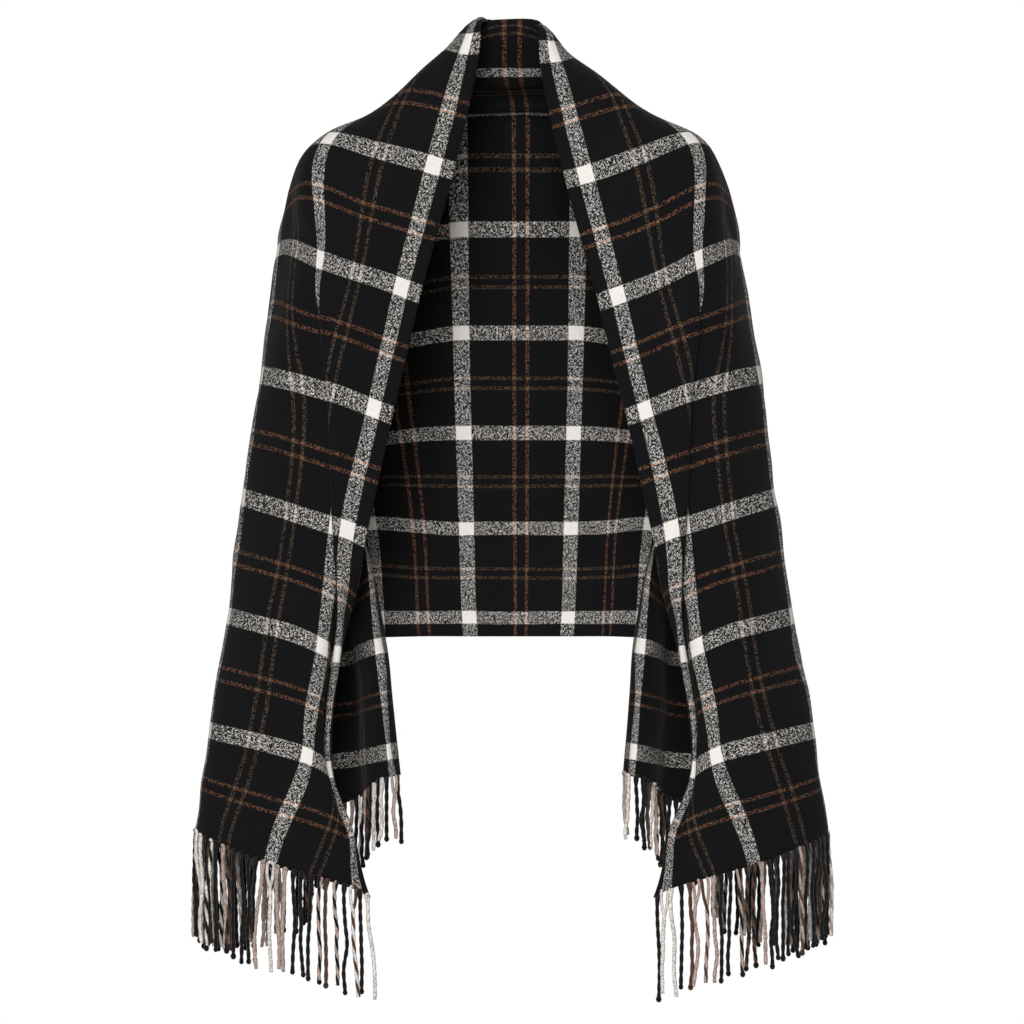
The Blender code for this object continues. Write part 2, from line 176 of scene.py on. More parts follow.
# Soft creases, each from one place on the cloth to another. Depth below zero is a trough seen
# from outside; bow is how far its middle strays sideways; side -1 left, 1 right, 0 both.
CREASES = (
    # along, v, to along, to v, width mm, depth mm, bow mm, side
    (0.35, 66, 1.35, 150, 13, -1.6, 5, 0),
    (0.70, 108, 1.45, 206, 12, -1.4, -4, 0),
    (1.20, 40, 1.95, 96, 16, -1.1, 4, -1),
    (1.55, 60, 2.30, 30, 14, -1.0, 3, 1),
    (1.65, 150, 2.75, 212, 15, -2.0, 7, 0),
    (2.00, 168, 3.10, 236, 13, -1.6, 6, 1),
    (2.60, 190, 3.70, 250, 17, -1.8, -6, -1),
    (3.30, 206, 4.30, 262, 14, -1.8, 5, 0),
    (3.90, 186, 4.75, 246, 12, -1.4, 4, 1),
    (4.50, 196, 5.60, 268, 15, -1.9, -6, -1),
    (4.90, 178, 6.10, 226, 14, -1.6, 6, 1),
    (5.20, 150, 7.30, 168, 20, -2.2, 9, -1),
    (5.40, 214, 7.35, 204, 18, -2.1, -8, 1),
    (5.90, 110, 7.30, 82, 17, -1.7, 6, 0),
    (6.30, 256, 7.40, 250, 15, -1.8, 4, 0),
    (4.90, 6, 5.90, 34, 7, -1.6, 3, 0),
    (5.35, 26, 6.05, 8, 6, 1.5, -2, -1),
    (5.60, 38, 6.60, 22, 7, -1.6, 3, 1),
    (6.10, 8, 6.90, 40, 8, -1.7, 3, 0),
    (0.00, 213, 0.62, 208, 9, -4.0, 2, 0),
    (0.00, 241, 0.80, 246, 9, 5.0, 3, 0),
    (0.00, 150, 0.55, 142, 10, -1.4, 2, 0),
    (0.15, 60, 0.60, 92, 9, -1.5, 3, 0),
    (0.90, 338, 1.35, 352, 5, 1.3, 2, -1),
    (1.30, 300, 0.80, 480, 24, 1.5, 8, -1),
    (1.25, 360, 0.70, 600, 26, 1.3, -9, 1),
    (0.40, 470, 0.20, 700, 28, -1.2, 6, 0),
    (1.80, 300, 1.35, 500, 18, -1.8, 8, 0),
    (2.20, 330, 1.75, 600, 20, -2.0, 9, 1),
    (2.35, 300, 2.10, 540, 20, -1.9, -8, -1),
    (2.90, 290, 3.70, 420, 15, -1.8, 5, 0),
    (3.60, 330, 4.60, 470, 14, -1.7, -5, 0),
    (4.60, 290, 5.90, 380, 14, -1.6, 5, -1),
    (5.20, 420, 6.60, 520, 14, -1.6, -5, 1),
)
CREASE_IN, CREASE_OUT = (-0.1, 0.35), (0.6, 1.1)  # parts of its length where a crease fades
FLAT_PLEAT = (14, 2)  # steps before the pleat's turn over which creases fade out,
FLAT_HIDDEN = (5, 30)  # by more the more cloth it hides
CALM_SELVAGE = (-4, 14)  # steps from a selvage over which creases and waves fade in

# A tuck that hides part of the stripe at the nape: how much, where along, where across
TUCK = 11.0
TUCK_ALONG, TUCK_IN, TUCK_OUT = (0.45, 0.85), (216, 238), (240, 330)

# Slow waves that keep the cloth from lying dead flat: wavelength along and across, height
WAVES = (
    # along mm, across mm, height mm, phase
    (310, 190, 1.3, 0.4),
    (170, 260, 0.9, 2.1),
    (120, -150, 0.6, 4.0),
    (84, 105, 0.35, 1.2),
    (63, -90, 0.25, 5.1),
)
WAVES_APART = 1.3  # radians by which the waves are shifted on each side

# The cloth's grid
CELLS_ALONG = 150  # on each half
CELLS_ACROSS = (22, 4, 4, 6, 4, 4, 9, 16, 7, 66, 12)  # between one named place and the next
LEAST_PLEAT = 44.0  # steps that the grid gives to the pleat where it hides less
LEAST_GAP = 30.0  # steps that it leaves between the pleat and the next named place
END_COLUMNS = 7.4  # the place along whose columns serve for the end edge
PROBE_ALONG, PROBE_ACROSS = 0.02, 2.0  # how far to each side slopes are measured

# The fringe, on each end
PLY_SIDES = 6
LOOP_RINGS = 7
RINGS = 52
KNOT_RINGS, KNOT_SIDES = 9, 8
FRINGE_SEED = 40
ROOT_STEPS = 1200  # places along the end edge between which the roots are set
ROOT_STRAY = 0.18  # how far a root strays from an even spacing
ROOT_RISE = 0.06  # how far up along the cloth a strand's first direction is taken
SHORTER = (520, 730)  # steps across the cloth over which the strands grow short
HANG_EASE = 4 * MM  # way over which a strand turns straight down
STRAYS = ((0.55, 1.7), (1.3, 0.8), (2.6, 0.3))  # waves on a strand, size in millimetres
STRAY_DEPTH = 0.8  # how much of that goes forwards and back
# In parts of a strand's thickness
PLY_RADIUS = 0.37  # the plies press into each other
PLY_OFFSET = 0.13
KNOT_RADIUS = 0.62
KNOT_LENGTH = 1.2  # half a knot's length, in its radii
KNOT_UNEVEN = (0.85, 1.12)
KNOT_SHADE = 0.6  # painted shade: a knot's colour beside that of its darker ply, darker for the shade in its bunched yarn
TWIST_UNEVEN = (0.85, 1.2)
TWIST_START = 0.3  # radians
PALE = 0.3  # linear brightness above which a strand counts as pale
LARGE_LOOPS = 0.6  # chance that a pale strand has a large loop at the edge
LARGE_LEGS, SMALL_LEGS = (14, 24), 6.0  # millimetres
LARGE_OPENING, SMALL_OPENING = 2.8, 0.9  # millimetres that a loop's legs part by
LOOP_HEIGHT = 0.9  # beside a half circle's
# Chances of a black, cream, taupe or brown ply
PLIES_AT_GROUND = (0.6, 0.14, 0.22, 0.04)
PLIES_AT_STRIPE = (0.22, 0.45, 0.27, 0.06)
PLIES_AT_LINES = (0.48, 0.08, 0.3, 0.14)
STRIPE_REACH, LINES_REACH = 9 * MM, 11 * MM  # from the middle of a stripe or a pair
NEW_PLY = 0.4  # chance that the second ply's colour is drawn anew
BLACK_PLY, BROWN_PLY = "0C0C0E", "5A3D2E"

# For a Mix node of colours: the sockets left alone, and its settings
SKIP = (None,) * 5
RGBA = {"data_type": "RGBA", "out": 2}


def settings_of(name, values):
    """A property group class from rows of (identifier, kind, label, description, default)."""
    notes = {}
    for key, (kind, limits), label, text, default in values:
        notes[key] = kind(name=label, description=text, default=default, **limits)
    return type(name, (bpy.types.PropertyGroup,), {"__annotations__": notes})


def linear(text):
    """An sRGB hex colour as linear red, green, blue and alpha."""
    parts = [int(text[i:i + 2], 16) / 255 for i in (0, 2, 4)]
    light = [c / 12.92 if c <= 0.04045 else ((c + 0.055) / 1.055) ** 2.4 for c in parts]
    return (*light, 1.0)


def slopes(knots, values):
    """Slope at each knot by the parabola of three neighbours, along the first axis."""
    step = np.diff(knots, axis=0)
    rate = np.diff(values, axis=0) / step
    inner = (rate[:-1] * step[1:] + rate[1:] * step[:-1]) / (step[1:] + step[:-1])
    return np.concatenate([rate[:1], inner, rate[-1:]])


def hermite(k0, k1, p0, p1, m0, m1, at):
    """The cubic through p0 and p1 with slopes m0 and m1."""
    h = k1 - k0
    t = (at - k0) / h
    return ((2 * t ** 3 - 3 * t ** 2 + 1) * p0 + (t ** 3 - 2 * t ** 2 + t) * h * m0
            + (3 * t ** 2 - 2 * t ** 3) * p1 + (t ** 3 - t ** 2) * h * m1)


def through(knots, values, at):
    """A smooth curve through the values at the knots."""
    knots = np.asarray(knots, float)
    values = np.asarray(values, float)
    tail = (1,) * (values.ndim - 1)
    column = knots.reshape((-1,) + tail)
    slope = slopes(column, values)
    i = np.clip(np.searchsorted(knots, at, side="right") - 1, 0, len(knots) - 2)
    at = np.asarray(at, float).reshape((-1,) + tail)
    return hermite(column[i], column[i + 1], values[i], values[i + 1], slope[i], slope[i + 1], at)


def smooth(edge0, edge1, x):
    """0 below edge0, 1 above edge1 and an S between them."""
    t = np.clip((x - edge0) / (edge1 - edge0), 0, 1)
    return t * t * (3 - 2 * t)


def unit(vectors):
    """Vectors along the last axis, brought to length 1."""
    return vectors / np.maximum(np.linalg.norm(vectors, axis=-1, keepdims=True), 1e-12)


def between(rise, fall, x):
    """0 before the range rise, 1 past it, 0 again past the range fall."""
    return smooth(*rise, x) * (1 - smooth(*fall, x))


def sections(along):
    """The sections' points, (10, n, 3), and their cloth coordinates, (10, n), at n places."""
    rows = [row[0] for row in FRONT]
    points = np.array([[f[1], f[2], f[3], f[5], *r[1:7]] for f, r in zip(FRONT, REAR)], float)
    cloth = np.array([[EDGE, S8, f[4], f[6], S6, S5, S4, S2, S1, HEM] for f in FRONT], float)
    # the middle of the back is a plane of symmetry
    points = np.concatenate([points[2:0:-1] * (-1, 1, 1), points])
    cloth = np.concatenate([cloth[2:0:-1], cloth])
    knots = [-rows[2], -rows[1]] + rows
    points = through(knots, points, along)
    cloth = through(knots, cloth, along)
    return points.transpose(1, 0, 2), cloth.T


def pleat_at(along):
    """Where the cloth turns under, and how much of it the pleat hides."""
    rows = [row[0] for row in PLEAT]
    turn = through(rows, [row[1] for row in PLEAT], along)
    hidden = through(rows, [row[2] for row in PLEAT], along)
    return turn, np.maximum(hidden, 0)


def soft_ramp(x, r):
    """Nothing below zero and twice x above it, rounded over r."""
    return np.sqrt(x * x + r * r) + x


def pleat(along, v):
    """Cloth coordinate v to the visible one and the height over the base, in a Z fold."""
    turn, hidden = pleat_at(along)
    back = turn + hidden / 2
    r = PLEAT_ROUND
    shown = v - soft_ramp(v - turn, r) + soft_ramp(v - back, r)
    height = 2 - smooth(turn - r, turn + r, v) - smooth(back - r, back + r, v)
    tuck = smooth(*TUCK_IN, v) - smooth(*TUCK_OUT, v)
    shown -= TUCK * (1 - smooth(*TUCK_ALONG, along)) * tuck
    return shown, height * smooth(0, PLEAT_FULL, hidden), hidden


def drape(along, v):
    """The cloth's middle in metres, without its flutes and the pleat's steps, and their height.

    Across each section the cloth follows cubics through the section's points, knotted at the
    cloth coordinates of those points; the sections themselves are blended along the scarf.
    """
    points, knots = sections(along)
    shown, height, hidden = pleat(along, v)
    # past the pleat the sections are measured in the cloth that shows
    knots[STRIPE_6:] -= hidden
    slope = slopes(knots[:, :, None], points)
    # on the arms the cloth runs straight back where stripe 6 meets the outline
    slope[STRIPE_6, :, 0] *= 1 - smooth(*ARM, along)
    i = (shown >= knots[1:-1]).sum(axis=0)
    n = np.arange(len(along))
    base = hermite(knots[i, n][:, None], knots[i + 1, n][:, None], points[i, n], points[i + 1, n],
                   slope[i, n], slope[i + 1, n], shown[:, None])
    return to_metres(base), height


def to_metres(p):
    """Points of the front view, in steps and millimetres, as X, Y and Z in metres."""
    return np.stack([p[:, 0] * PITCH, p[:, 1] * MM, (NAPE_DROP - p[:, 2]) * PITCH], axis=-1)


def crease_lift(along, v, side):
    """How far creases and slow waves lift the cloth, in metres.

    A crease is a Gaussian across its line, fading to nothing at both ends, and its line is an
    arc that strays by its bow. The waves are sines over the flat cloth, shifted on each side.
    """
    x, y = along * LONG_PERIOD / MM, v * PITCH / MM
    lift = np.zeros_like(x)
    for a0, v0, a1, v1, width, depth, bow, which in CREASES:
        if which == -side:
            continue
        x0, y0 = a0 * LONG_PERIOD / MM, v0 * PITCH / MM
        dx, dy = a1 * LONG_PERIOD / MM - x0, v1 * PITCH / MM - y0
        length = math.hypot(dx, dy)
        t = ((x - x0) * dx + (y - y0) * dy) / length ** 2
        off = ((y - y0) * dx - (x - x0) * dy) / length - bow * 4 * t * (1 - t)
        # creases that start at the middle of the back run on into the other side
        fade = (1.0 if a0 == 0 else smooth(*CREASE_IN, t)) * (1 - smooth(*CREASE_OUT, t))
        lift += depth * np.exp(-(off / width) ** 2) * fade
    apart = smooth(0, 1.0, along) * side * WAVES_APART
    for long_wave, wide_wave, height, phase in WAVES:
        turn = 2 * math.pi * (x / long_wave + y / wide_wave)
        mirror = 2 * math.pi * (-x / long_wave + y / wide_wave)
        # the two halves share one pattern that runs through the middle of the back
        lift += height * np.sin(np.where(side > 0, turn, mirror) + phase + apart)
    return lift * MM * smooth(*CALM_SELVAGE, v) * smooth(*CALM_SELVAGE, HEM - v)


def shift_and_mirror(out, along, v, side):
    """Puts one side's points in place: mirrored, and hanging a little unlike the other side."""
    out[:, 0] *= side
    back = smooth(*BACK_ACROSS, v) * (1 - smooth(*BACK_ALONG, along))
    front = between(FRONT_IN, FRONT_OUT, along)
    out[:, 0] += PITCH * (FRONT_SHIFT * front + BACK_SHIFT * back)
    chest = between(CHEST_IN, CHEST_OUT, along) * (1 - smooth(*CHEST_ACROSS, v))
    out[:, 2] -= side * RIGHT_DROP * PITCH * chest
    return out


def middle_surface(along, v, side):
    """The cloth's middle on one side, -1 the left and 1 the right, in metres.

    The draped surface, moved along its outward normal by the pleat's layers, by a cosine of
    FLUTES waves behind the arm, and by the creases.
    """
    shape = along.shape
    along = along.reshape(-1)
    v = v.reshape(-1)
    base, height = drape(along, v)
    length = drape(along + PROBE_ALONG, v)[0] - drape(along - PROBE_ALONG, v)[0]
    low_v, high_v = v - PROBE_ACROSS, v + PROBE_ACROSS
    across = drape(along, high_v)[0] - drape(along, low_v)[0]
    # where the pleat doubles back, so does the cloth's face
    flip = np.sign(pleat(along, high_v)[0] - pleat(along, low_v)[0])
    normal = unit(np.cross(length, across) * flip[:, None])
    t = (v - FLUTE_FROM) / (FLUTE_TO - FLUTE_FROM)
    depth = through([row[0] for row in REAR], [row[7] for row in REAR], along) * MM
    wave = np.cos(2 * math.pi * FLUTES * t) * smooth(0, FLUTE_START, t)
    wave = wave * smooth(0, FLUTE_STOP, 1 - t)
    lift = height * PLEAT_STEP + wave * depth
    turn, hidden = pleat_at(along)
    # inside the pleat the layers lie close, so they take no creases of their own
    inside = between((turn - FLAT_PLEAT[0], turn - FLAT_PLEAT[1]),
                     (turn + hidden / 2, turn + hidden + 1), v)
    lift = lift + crease_lift(along, v, side) * (1 - inside * smooth(*FLAT_HIDDEN, hidden))
    return shift_and_mirror(base + normal * lift[:, None], along, v, side).reshape(shape + (3,))


def end_of(v):
    """Where the end edge lies along: it draws back from stripe 6 to END_SQUARE."""
    return END - END_RISE * np.clip((v - S6) / (END_SQUARE - S6), 0, 1) ** 2


def columns(along):
    """The grid's places across the cloth, closest round the pleat."""
    turn, hidden = pleat_at(along)
    hidden = np.maximum(hidden, LEAST_PLEAT)
    r = PLEAT_ROUND - 1
    back = turn + hidden / 2
    one = np.ones_like(turn)
    stops = [EDGE * one, turn - r, turn, turn + r, back - r, back, back + r, turn + hidden,
             np.maximum(S6, turn + hidden + LEAST_GAP),
             FLUTE_FROM * one, FLUTE_TO * one, HEM * one]
    parts = []
    for first, last, cells in zip(stops[:-1], stops[1:], CELLS_ACROSS):
        t = np.arange(cells) / cells
        parts.append(first[:, None] * (1 - t) + last[:, None] * t)
    return np.concatenate(parts + [stops[-1][:, None]], axis=1)


def cloth_places():
    """Cloth coordinates of the grid from one fringed end to the other: signed along, and v."""
    t = np.linspace(0, 1, CELLS_ALONG + 1)
    edge_v = columns(np.array([END_COLUMNS]))[0]
    last = end_of(edge_v)
    # rows are even in the middle of the back and follow the slanted end edge
    along = last[None, :] * t[:, None]
    v = columns(along.mean(axis=1))
    v[-1] = edge_v
    return np.concatenate([-along[:0:-1], along]), np.concatenate([v[:0:-1], v])


def both_sides(along, v):
    """The cloth's middle, of the left half where along is below zero, of the right elsewhere."""
    left = middle_surface(np.abs(along), v, -1)
    right = middle_surface(np.abs(along), v, 1)
    pick = np.where(along[..., None] < 0, left, right)
    return np.where(along[..., None] == 0, (left + right) / 2, pick)


def new_object(name, data):
    """An object that shows a mesh, a lamp or a camera, put in the scene."""
    obj = bpy.data.objects.new(name, data)
    bpy.context.scene.collection.objects.link(obj)
    return obj


def make_mesh(name, points, quads, smooth_faces=True):
    """A mesh object from arrays of points and of faces with four corners."""
    mesh = bpy.data.meshes.new(name)
    mesh.from_pydata(points.reshape(-1, 3), [], quads.reshape(-1, 4).tolist())
    mesh.polygons.foreach_set("use_smooth", np.full(len(mesh.polygons), smooth_faces))
    mesh.update()
    return new_object(name, mesh)


def cloth_shell(name):
    """The whole cloth as one closed shell with rounded selvages, mapped as it was woven.

    Each row of the grid becomes a loop: the outer face from selvage to selvage, a point that
    rounds the hem's selvage, the inner face back again, and a point for the front selvage.
    """
    along, v = cloth_places()
    middle = both_sides(along, v)
    normal = unit(np.cross(np.gradient(middle, axis=0), np.gradient(middle, axis=1)))
    outer = middle + normal * WALL / 2
    inner = middle - normal * WALL / 2
    rounding = unit(np.gradient(middle, axis=1)) * SELVAGE_ROUND
    hem = middle[:, -1:] + rounding[:, -1:]
    front = middle[:, :1] - rounding[:, :1]
    loop = np.concatenate([outer, hem, inner[:, ::-1], front], axis=1)
    index = np.arange(loop.size // 3).reshape(loop.shape[:2])
    ring = np.concatenate([index, index[:, :1]], axis=1)
    walls = np.stack([ring[:-1, :-1], ring[1:, :-1], ring[1:, 1:], ring[:-1, 1:]], axis=-1)
    # the two ends are closed by strips from the outer edge to the inner one
    k = along.shape[1]
    quads = [walls.reshape(-1, 4)]
    for row, turned in ((0, False), (-1, True)):
        a, b = index[row, :k], index[row, 2 * k:k:-1]
        strip = np.stack([a[:-1], a[1:], b[1:], b[:-1]], axis=-1)
        quads.append(strip[:, ::-1] if turned else strip)
    obj = make_mesh(name, loop, np.concatenate(quads))
    close_corners(obj.data)
    flat = np.stack([along * LONG_PERIOD, v * PITCH], axis=-1)
    place = np.concatenate([flat, flat[:, -1:], flat[:, ::-1], flat[:, :1]], axis=1)
    write_uv(obj.data, place.reshape(-1, 2))
    return obj


def close_corners(mesh):
    """Closes the small triangles beside the rounding points at the cloth's four corners."""
    bm = bmesh.new()
    bm.from_mesh(mesh)
    bmesh.ops.holes_fill(bm, edges=[e for e in bm.edges if e.is_boundary], sides=4)
    bmesh.ops.recalc_face_normals(bm, faces=bm.faces)
    for face in bm.faces:
        face.smooth = True
    bm.to_mesh(mesh)
    bm.free()


def write_uv(mesh, place):
    """Cloth coordinates in metres, as the mesh's own UV map."""
    layer = mesh.uv_layers.new(name="cloth")
    corner = np.empty(len(mesh.loops), dtype=np.int32)
    mesh.loops.foreach_get("vertex_index", corner)
    layer.data.foreach_set("uv", place[corner].astype(np.float32).ravel())


def add(tree, kind, *inputs, out=0, **settings):
    """One shader node with its settings; inputs are numbers or sockets in order, None is left."""
    node = tree.nodes.new("ShaderNode" + kind)
    for name, value in settings.items():
        setattr(node, name, value)
    for i, value in enumerate(inputs):
        if isinstance(value, bpy.types.NodeSocket):
            tree.links.new(value, node.inputs[i])
        elif value is not None:
            node.inputs[i].default_value = value
    return node.outputs[out]


def new_material(name, values):
    """A material with a Principled shader whose uniform values are set on its sockets."""
    material = bpy.data.materials.new(name)
    material.use_nodes = True
    shader = material.node_tree.nodes["Principled BSDF"]
    for key, value in values.items():
        shader.inputs[key].default_value = value
    return material, material.node_tree, shader


def band(tree, distance, half):
    """1 where the distance is below half and 0 past it, with a blurred edge."""
    return add(tree, "MapRange", distance, half - YARN_EDGE, half + YARN_EDGE, 1.0, 0.0)


def twin_band(tree, distance, gap, half):
    """1 on two lines, each gap / 2 from where the distance is zero."""
    offset = add(tree, "Math", distance, gap / 2, operation="SUBTRACT")
    offset = add(tree, "Math", offset, operation="ABSOLUTE")
    return band(tree, offset, half)


def yarn_colour(tree, white, brown, brown_tone, shades):
    """The colour of one set of yarns: black ground, white stripes and brown lines."""
    colour = add(tree, "Mix", brown, *SKIP, shades["black"], (*brown_tone, 1.0), **RGBA)
    return add(tree, "Mix", white, *SKIP, colour, shades["white"], **RGBA)


def plaid(tree, x, y, weave):
    """Where the yarns along the scarf are white and brown, then where those across it are."""
    to_wide = add(tree, "Math", y, MARGIN, operation="SUBTRACT")
    to_wide = add(tree, "Math", to_wide, WIDE_PERIOD / 2, operation="PINGPONG")
    mid_wide = add(tree, "Math", WIDE_PERIOD / 2, to_wide, operation="SUBTRACT")
    mid_long = add(tree, "Math", x, LONG_PERIOD / 2, operation="PINGPONG")
    to_long = add(tree, "Math", LONG_PERIOD / 2, mid_long, operation="SUBTRACT")
    striped = band(tree, add(tree, "Math", x, operation="ABSOLUTE"), LAST_STRIPE)
    warp_white = band(tree, to_wide, weave.long_stripe / 2)
    warp_brown = twin_band(tree, mid_wide, *LINES_ALONG)
    weft_white = band(tree, to_long, weave.cross_stripe / 2)
    weft_white = add(tree, "Math", weft_white, striped, operation="MULTIPLY")
    weft_brown = twin_band(tree, mid_long, *LINES_ACROSS)
    return warp_white, warp_brown, weft_white, weft_brown


def broken_twill(tree, uv, x, y, rib):
    """The twill's short flecks, and how far the yarns along the scarf lie on top in each.

    The flecks are noise drawn out along a diagonal. They lean one way in some patches and
    across in others, and a sine across the same diagonal adds the regular rib.
    """
    p = add(tree, "Math", x, y, operation="ADD")
    q = add(tree, "Math", x, y, operation="SUBTRACT")
    leaning = []
    for wide, long in ((p, q), (q, p)):
        wide = add(tree, "Math", wide, FLECKS_WIDE, operation="MULTIPLY")
        long = add(tree, "Math", long, FLECKS_LONG, operation="MULTIPLY")
        cells = add(tree, "CombineXYZ", wide, long)
        leaning.append(add(tree, "TexNoise", cells, None, *FLECK_NOISE))
    patch = add(tree, "TexNoise", uv, None, *PATCH_NOISE)
    patch = add(tree, "MapRange", patch, *PATCH_RANGE)
    fleck = add(tree, "Mix", patch, None, *leaning)
    fleck = add(tree, "MapRange", fleck, *FLECK_RANGE)
    ribs = add(tree, "Math", p, 2 * math.pi / rib, operation="MULTIPLY")
    ribs = add(tree, "Math", ribs, operation="SINE")
    over = add(tree, "Math", ribs, RIB_SHARE, fleck, operation="MULTIPLY_ADD")
    return fleck, add(tree, "MapRange", over, *ON_TOP_RANGE)


def dipping(tree, uv, warp_white, warp_brown, weft_white, weft_brown):
    """How far pale yarns go dark in specks, where black ones cross them and nap lies over."""
    specks = add(tree, "TexNoise", uv, None, *SPECK_NOISE)
    any_white = add(tree, "Math", warp_white, weft_white, operation="MAXIMUM")
    any_brown = add(tree, "Math", warp_brown, weft_brown, operation="MAXIMUM")
    both_brown = add(tree, "Math", warp_brown, weft_brown, operation="MULTIPLY")
    lone_white = add(tree, "Math", warp_white, weft_white, operation="SUBTRACT")
    lone_white = add(tree, "Math", lone_white, operation="ABSOLUTE")
    white_dip = add(tree, "MapRange", specks, *WHITE_DIP_RANGE)
    white_dip = add(tree, "Math", lone_white, white_dip, operation="MULTIPLY")
    brown_dip = add(tree, "MapRange", specks, *BROWN_DIP_RANGE)
    brown_dip = add(tree, "Math", both_brown, BROWN_CROSSING, brown_dip, operation="MULTIPLY_ADD")
    brown_dip = add(tree, "Mix", any_white, None, brown_dip, BROWN_ON_WHITE)
    return add(tree, "Mix", any_brown, None, white_dip, brown_dip)


def brushed_twill(weave, colours):
    """Brushed wool-blend twill, piece-woven from dyed yarns: matt, with a short soft nap.

    The plaid is woven, not printed: the yarns along the scarf and those across it each have
    their own stripes, and an uneven twill decides which of the two shows at each fleck, so a
    white stripe over black reads as salt and pepper and two crossing white ones as solid.
    """
    material, tree, shader = new_material("brushed_wool_twill", {
        "Roughness": 0.92,
        "Specular IOR Level": 0.15,
        "Sheen Weight": 0.06,
        "Sheen Roughness": 0.45,
        "Sheen Tint": linear("C8C4C0"),
    })
    uv = add(tree, "UVMap", uv_map="cloth")
    x = add(tree, "SeparateXYZ", uv)
    y = x.node.outputs[1]
    bands = plaid(tree, x, y, weave)

    # slow unevenness of the dyed white wool, and fine lint on the black
    cloud = add(tree, "TexNoise", uv, None, *DYE_NOISE)
    lint = add(tree, "TexNoise", uv, None, *LINT_NOISE)
    shades = {
        "black": add(tree, "Mix", lint, *SKIP, linear("050507"), linear("131315"), **RGBA),
        "white": add(tree, "Mix", cloud, *SKIP, linear("E0DBD4"), linear("F8F4EE"), **RGBA),
    }
    warp = yarn_colour(tree, *bands[:2], colours.long_brown, shades)
    weft = yarn_colour(tree, *bands[2:], colours.cross_brown, shades)
    fleck, on_top = broken_twill(tree, uv, x, y, weave.rib)
    colour = add(tree, "Mix", on_top, *SKIP, weft, warp, **RGBA)
    keep = add(tree, "Math", 1.0, dipping(tree, uv, *bands), operation="SUBTRACT")
    colour = add(tree, "Mix", 1.0, *SKIP, colour, keep, blend_type="MULTIPLY", **RGBA)
    tree.links.new(colour, shader.inputs["Base Color"])

    # the flecks stand a little proud, and the brushed nap blurs them
    nap = add(tree, "TexNoise", uv, None, *NAP_NOISE)
    relief = add(tree, "Math", fleck, FLECK_RELIEF, nap, operation="MULTIPLY_ADD")
    bump = add(tree, "Bump", *NAP_BUMP, None, relief)
    tree.links.new(bump, shader.inputs["Normal"])
    return material


def twisted_yarn():
    """Two-ply woollen yarn, coloured by ply from the mesh's own attribute, dimmed by fibres."""
    material, tree, shader = new_material("twisted_wool_yarn", {
        "Roughness": 0.88,
        "Specular IOR Level": 0.25,
        "Sheen Weight": 0.25,
        "Sheen Roughness": 0.45,
        "Sheen Tint": linear("D0CCC8"),
    })
    tint = add(tree, "Attribute", attribute_name="yarn")
    place = add(tree, "TexCoord", out="Object")
    fibre = add(tree, "TexNoise", place, None, *FIBRE_NOISE)
    shade = add(tree, "MapRange", fibre, *YARN_SHADE_RANGE)
    colour = add(tree, "Mix", 1.0, *SKIP, tint, shade, blend_type="MULTIPLY", **RGBA)
    tree.links.new(colour, shader.inputs["Base Color"])
    bump = add(tree, "Bump", *FIBRE_BUMP, None, fibre)
    tree.links.new(bump, shader.inputs["Normal"])
    return material


def pale_floor():
    """Matt studio paper, nearly white."""
    values = {"Base Color": linear("F4F4F4"), "Roughness": 0.95}
    return new_material("pale_studio_paper", values)[0]


def strand_paths(side, settings, rng):
    """The axes of every strand on one end, (strands, rings, 3), and where they hang from.

    A strand's axis starts on the cloth's end edge, leaves it along the cloth and soon hangs
    straight down, straying sideways a little on a few slow sines. Its directions are along
    the edge, down the cloth and out of its face.
    """
    count = settings.strands
    fine_v = np.linspace(EDGE, HEM, ROOT_STEPS)
    low = middle_surface(end_of(fine_v), fine_v, side)
    high = middle_surface(end_of(fine_v) - ROOT_RISE, fine_v, side)
    run = np.concatenate([[0], np.cumsum(np.linalg.norm(np.diff(low, axis=0), axis=1))])
    stray = rng.uniform(-ROOT_STRAY, ROOT_STRAY, count)
    at = (np.arange(count) + 0.5 + stray) / count * run[-1]
    v = np.interp(at, run, fine_v)
    root, above, tangent = (
        np.stack([np.interp(at, run, line[:, k]) for k in range(3)], axis=1)
        for line in (low, high, np.gradient(low, run, axis=0)))
    down = unit(root - above)
    tangent = unit(tangent - (tangent * down).sum(1, keepdims=True) * down)

    shorter = (settings.short_strand - settings.long_strand) * smooth(*SHORTER, v)
    length = settings.long_strand + shorter - settings.uneven * rng.random(count)
    s = np.linspace(0, 1, RINGS)[None, :]
    way = s * length[:, None]
    lean = HANG_EASE * (1 - np.exp(-way / HANG_EASE))
    axis = root[:, None] + down[:, None] * lean[..., None]
    axis[..., 2] -= way - lean
    sway = np.zeros(way.shape + (2,))
    for waves, size in STRAYS:
        phase = rng.uniform(0, 2 * math.pi, (count, 1, 2))
        amount = rng.normal(0, size, (count, 1, 2)) * MM
        bend = np.sin(2 * math.pi * waves * s[..., None] + phase) - np.sin(phase)
        sway += amount * bend * smooth(0, 0.5, s)[..., None]
    axis[..., 0] += sway[..., 0]
    axis[..., 1] += sway[..., 1] * STRAY_DEPTH
    return v, way, axis, (tangent, down, np.cross(tangent, down))


